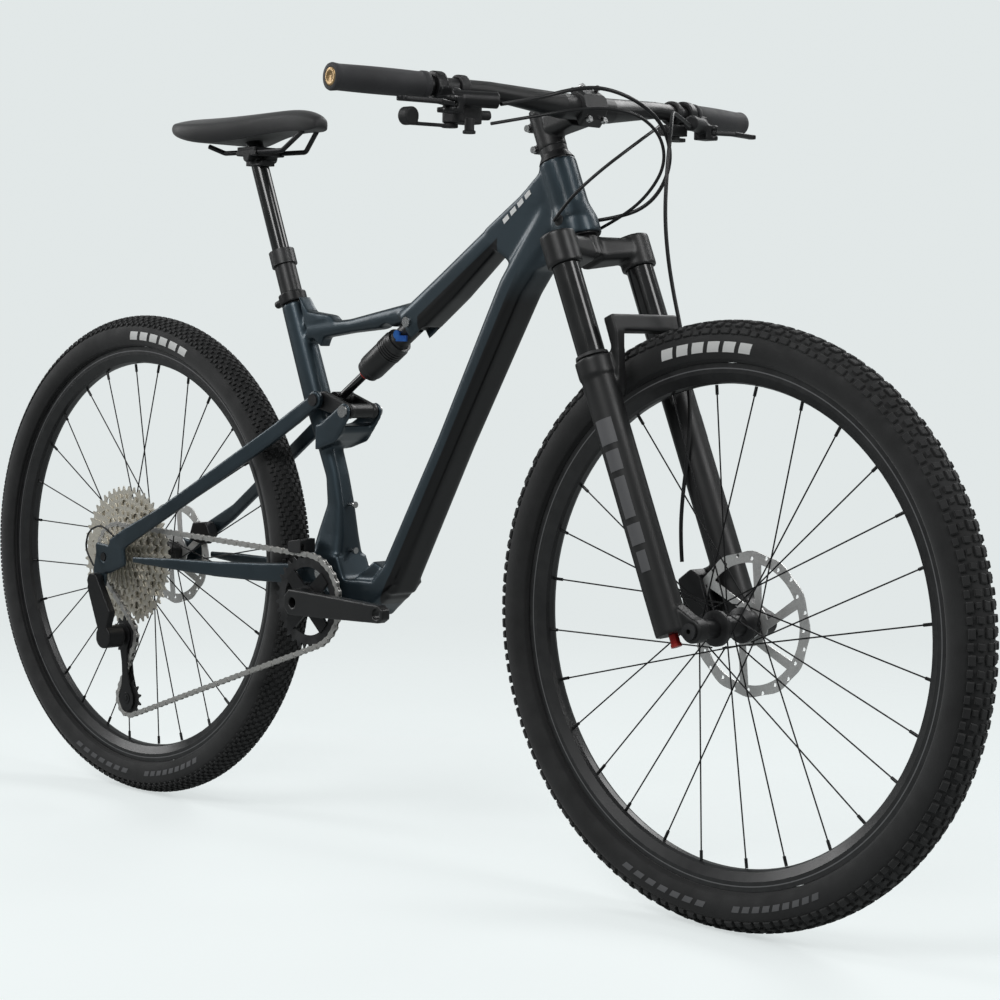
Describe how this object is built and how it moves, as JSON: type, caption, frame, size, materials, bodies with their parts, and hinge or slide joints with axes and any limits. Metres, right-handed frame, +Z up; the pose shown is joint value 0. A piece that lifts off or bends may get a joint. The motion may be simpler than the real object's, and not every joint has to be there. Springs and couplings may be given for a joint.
{
  "type": "mountain bike",
  "caption": "Full-suspension mountain bike with dropper seatpost, flat bar, disc brakes and single-ring drivetrain, shown without pedals.",
  "frame": {"origin": "centre of the bounding box's base, on the ground midway between the tyres' outer ends", "axes": "+X forward towards the front wheel, +Y to the rider's left, +Z up"},
  "size_m": [1.8779, 0.7654, 1.0318],
  "materials": {
    "frame_paint": "dark blue-grey metallic lacquer",
    "satin_black": "satin black lacquer",
    "gloss_black": "gloss black hard coat",
    "black_anodised": "black anodised",
    "lowers_black": "matte black paint with grey abstract stripes",
    "matte_plastic": "moulded black plastic",
    "grip_rubber": "ribbed dark grey rubber",
    "hose_black": "smooth black hose",
    "tyre_rubber": "matte black rubber",
    "rim_black": "satin black with a thin grey ring",
    "spoke_black": "black steel",
    "rotor_steel": "ground steel",
    "chain_steel": "silver-grey plate",
    "cassette_steel": "champagne silver",
    "silver_bolt": "polished steel",
    "rail_steel": "black steel tube",
    "red_anodised": "red anodised",
    "blue_anodised": "blue anodised",
    "saddle_cover": "black synthetic cover"
  },
  "bodies": {
    "frame": {"main_frame": "frame_paint", "bottom_bracket": "black_anodised", "headset": "black_anodised", "seatpost_collar": "black_anodised", "dropper_outer": "satin_black", "frame_bolts": "silver_bolt", "chain_guide": "matte_plastic", "chain": "chain_steel"},
    "steering": {"fork_crown": "satin_black", "fork_stanchions": "gloss_black", "stem": "satin_black", "stem_faceplate": "satin_black", "stem_fasteners": "silver_bolt", "handlebar": "satin_black", "grips": "grip_rubber", "brake_bodies": "black_anodised", "shifter_body": "matte_plastic", "dropper_remote_body": "matte_plastic", "brake_hoses": "hose_black", "shift_cable": "hose_black", "dropper_cable": "hose_black"},
    "brake_lever_right": {"brake_lever_right": "black_anodised"},
    "brake_lever_left": {"brake_lever_left": "black_anodised"},
    "shift_paddle_main": {"shift_paddle_main": "matte_plastic"},
    "shift_paddle_release": {"shift_paddle_release": "matte_plastic"},
    "dropper_lever": {"dropper_lever": "matte_plastic"},
    "lowers": {"fork_lowers": "lowers_black", "front_axle": "black_anodised", "front_caliper": "black_anodised"},
    "rebound_knob": {"rebound_knob": "red_anodised"},
    "front_wheel": {"front_tyre": "tyre_rubber", "front_rim": "rim_black", "front_spokes": "spoke_black", "front_hub": "black_anodised", "front_rotor": "rotor_steel"},
    "swingarm": {"chainstays": "frame_paint"},
    "rear_stays": {"seatstays": "frame_paint", "rear_axle": "black_anodised", "rear_caliper": "black_anodised", "derailleur_body": "black_anodised"},
    "rocker": {"rocker_link": "satin_black"},
    "shock_can": {"shock_can": "satin_black"},
    "shock_lever": {"shock_lever": "blue_anodised"},
    "shock_shaft": {"shock_shaft": "gloss_black"},
    "rear_wheel": {"rear_tyre": "tyre_rubber", "rear_rim": "rim_black", "rear_spokes": "spoke_black", "rear_hub": "black_anodised", "rear_rotor": "rotor_steel"},
    "cassette": {"cassette": "cassette_steel"},
    "cranks": {"crank_arm_right": "satin_black", "crank_arm_left": "satin_black", "chainring": "black_anodised"},
    "derailleur_cage": {"derailleur_cage": "black_anodised"},
    "jockey_upper": {"jockey_upper": "matte_plastic"},
    "jockey_lower": {"jockey_lower": "matte_plastic"},
    "seat": {"dropper_inner": "gloss_black", "saddle_clamp": "black_anodised", "saddle_rails": "rail_steel", "saddle": "saddle_cover"}
  },
  "joints": [
    {"name": "steer", "type": "hinge", "parent": "frame", "child": "steering", "pos_m": [0.311, 0, 0.837], "axis": [-0.3907, 0, 0.9205], "range_deg": [-55, 55], "deforming": ["brake_hoses", "shift_cable", "dropper_cable"]},
    {"name": "brake_pull_right", "type": "hinge", "parent": "steering", "child": "brake_lever_right", "pos_m": [0.32145, -0.246, 0.988], "axis": [0, 0, 1], "range_deg": [-18, 0], "stiffness_Nm_per_rad": 3, "springref_deg": 5.73},
    {"name": "brake_pull_left", "type": "hinge", "parent": "steering", "child": "brake_lever_left", "pos_m": [0.32145, 0.246, 0.988], "axis": [0, 0, 1], "range_deg": [0, 18], "stiffness_Nm_per_rad": 3, "springref_deg": -5.73},
    {"name": "shift_up", "type": "hinge", "parent": "steering", "child": "shift_paddle_main", "pos_m": [0.29047, -0.215, 0.9655], "axis": [0, 0, 1], "range_deg": [0, 20], "stiffness_Nm_per_rad": 1, "springref_deg": -5.73},
    {"name": "shift_release", "type": "hinge", "parent": "steering", "child": "shift_paddle_release", "pos_m": [0.29852, -0.19, 0.9595], "axis": [0, 0, 1], "range_deg": [-12, 0], "stiffness_Nm_per_rad": 1, "springref_deg": 5.73},
    {"name": "dropper_press", "type": "hinge", "parent": "steering", "child": "dropper_lever", "pos_m": [0.29754, 0.196, 0.9782], "axis": [0, 0, 1], "range_deg": [-20, 0], "stiffness_Nm_per_rad": 1, "springref_deg": 5.73},
    {"name": "fork_travel", "type": "slide", "parent": "steering", "child": "lowers", "axis": [-0.3907, 0, 0.9205], "range_m": [0, 0.1], "stiffness_N_per_m": 8000, "springref_m": -0.02},
    {"name": "rebound_turn", "type": "hinge", "parent": "lowers", "child": "rebound_knob", "pos_m": [0.54018, -0.07, 0.35851], "axis": [-0.3907, 0, 0.9205], "continuous": true},
    {"name": "front_wheel_spin", "type": "hinge", "parent": "lowers", "child": "front_wheel", "pos_m": [0.569, 0, 0.37], "axis": [0, 1, 0], "continuous": true},
    {"name": "main_pivot", "type": "hinge", "parent": "frame", "child": "swingarm", "pos_m": [-0.124, 0, 0.378], "axis": [0, 1, 0], "range_deg": [0, 13.4], "stiffness_Nm_per_rad": 2000, "springref_deg": -2.86, "deforming": ["chain"]},
    {"name": "stay_flex", "type": "hinge", "parent": "swingarm", "child": "rear_stays", "pos_m": [-0.52, 0, 0.367], "axis": [0, 1, 0], "range_deg": [-6.8, 0]},
    {"name": "rocker_turn", "type": "hinge", "parent": "frame", "child": "rocker", "pos_m": [-0.0936, 0, 0.6043], "axis": [0, 1, 0], "range_deg": [0, 58]},
    {"name": "shock_swing", "type": "hinge", "parent": "frame", "child": "shock_can", "pos_m": [0.0198, 0, 0.729], "axis": [0, 1, 0], "range_deg": [0, 3]},
    {"name": "lockout_turn", "type": "hinge", "parent": "shock_can", "child": "shock_lever", "pos_m": [-0.00478, 0, 0.7118], "axis": [0, 1, 0], "range_deg": [0, 60]},
    {"name": "shock_travel", "type": "slide", "parent": "shock_can", "child": "shock_shaft", "axis": [0.8194, 0, 0.5732], "range_m": [0, 0.043]},
    {"name": "rear_wheel_spin", "type": "hinge", "parent": "rear_stays", "child": "rear_wheel", "pos_m": [-0.573, 0, 0.366], "axis": [0, 1, 0], "continuous": true},
    {"name": "cassette_spin", "type": "hinge", "parent": "rear_stays", "child": "cassette", "pos_m": [-0.573, 0, 0.366], "axis": [0, 1, 0], "continuous": true},
    {"name": "crank_spin", "type": "hinge", "parent": "frame", "child": "cranks", "pos_m": [-0.138, 0, 0.338], "axis": [0, 1, 0], "continuous": true},
    {"name": "cage_swing", "type": "hinge", "parent": "rear_stays", "child": "derailleur_cage", "pos_m": [-0.553, -0.0524, 0.247], "axis": [0, 1, 0], "range_deg": [-20, 12], "stiffness_Nm_per_rad": 6},
    {"name": "jockey_upper_spin", "type": "hinge", "parent": "derailleur_cage", "child": "jockey_upper", "pos_m": [-0.553, -0.0524, 0.247], "axis": [0, 1, 0], "continuous": true},
    {"name": "jockey_lower_spin", "type": "hinge", "parent": "derailleur_cage", "child": "jockey_lower", "pos_m": [-0.543, -0.0524, 0.152], "axis": [0, 1, 0], "continuous": true},
    {"name": "seat_drop", "type": "slide", "parent": "frame", "child": "seat", "axis": [-0.3714, 0, 0.9285], "range_m": [-0.12, 0], "stiffness_N_per_m": 1500, "springref_m": 0.05}
  ],
  "couplings": [
    {"joint": "stay_flex", "follows": "main_pivot", "ratio": -0.4956},
    {"joint": "rocker_turn", "follows": "main_pivot", "ratio": 4.288},
    {"joint": "shock_swing", "follows": "main_pivot", "ratio": 0.215},
    {"joint": "shock_travel", "follows": "main_pivot", "m_per_rad": 0.1823},
    {"joint": "cassette_spin", "follows": "crank_spin", "ratio": 1.3333},
    {"joint": "jockey_upper_spin", "follows": "crank_spin", "ratio": -2.4615},
    {"joint": "jockey_lower_spin", "follows": "crank_spin", "ratio": 2.4615}
  ]
}
